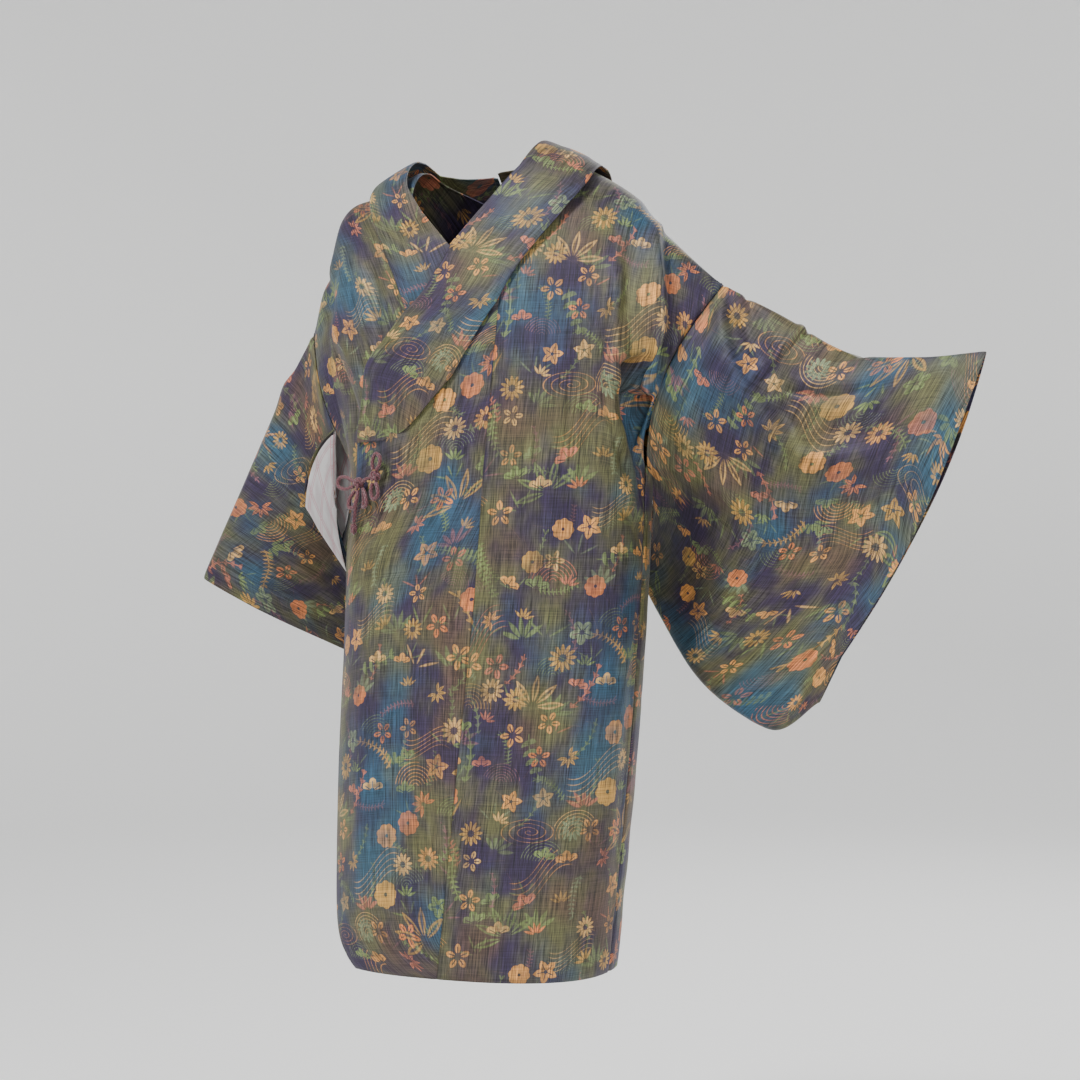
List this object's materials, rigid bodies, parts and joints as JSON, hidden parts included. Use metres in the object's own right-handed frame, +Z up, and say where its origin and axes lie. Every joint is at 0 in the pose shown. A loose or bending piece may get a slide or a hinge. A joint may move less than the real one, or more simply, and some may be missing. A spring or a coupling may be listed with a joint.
{
  "type": "kimono coat (dochugi) with shawl collar",
  "caption": "Kimono coat with a wide shawl collar, left front over right, tied at the right side with braided cords; worn form, hollow.",
  "frame": {"origin": "middle of the shoulder line at the neck, where the wearer's shoulders hold the coat up", "axes": "+Z up, the front faces -Y, the wearer's left is +X"},
  "size_m": [0.9793, 0.3999, 0.9556],
  "materials": {
    "outer_cloth": "slubbed silk with woven flowers",
    "lining": "smooth pale lining with thin stripes",
    "cord": "round silk braid"
  },
  "bodies": {
    "root": {"body_left_front": "outer_cloth", "body_left_back": "outer_cloth", "body_right_front": "outer_cloth", "body_right_back": "outer_cloth", "overlap_left": "outer_cloth", "overlap_right": "outer_cloth", "collar_left": "outer_cloth", "collar_right": "outer_cloth", "sleeve_left_front": "outer_cloth", "sleeve_left_back": "outer_cloth", "sleeve_right": "outer_cloth", "sleeve_right_lining": "lining", "sleeve_right_facing": "outer_cloth", "tie_bow_knot": "cord", "tie_ornament_knot": "cord", "tie_tail_end": "cord", "tie_link": "cord", "tie_bow_loop_side": "cord", "tie_bow_loop_near": "cord", "tie_bow_loop_far": "cord", "tie_ornament_loop_up": "cord", "tie_ornament_loop_down": "cord", "tie_tail": "cord"}
  },
  "joints": []
}
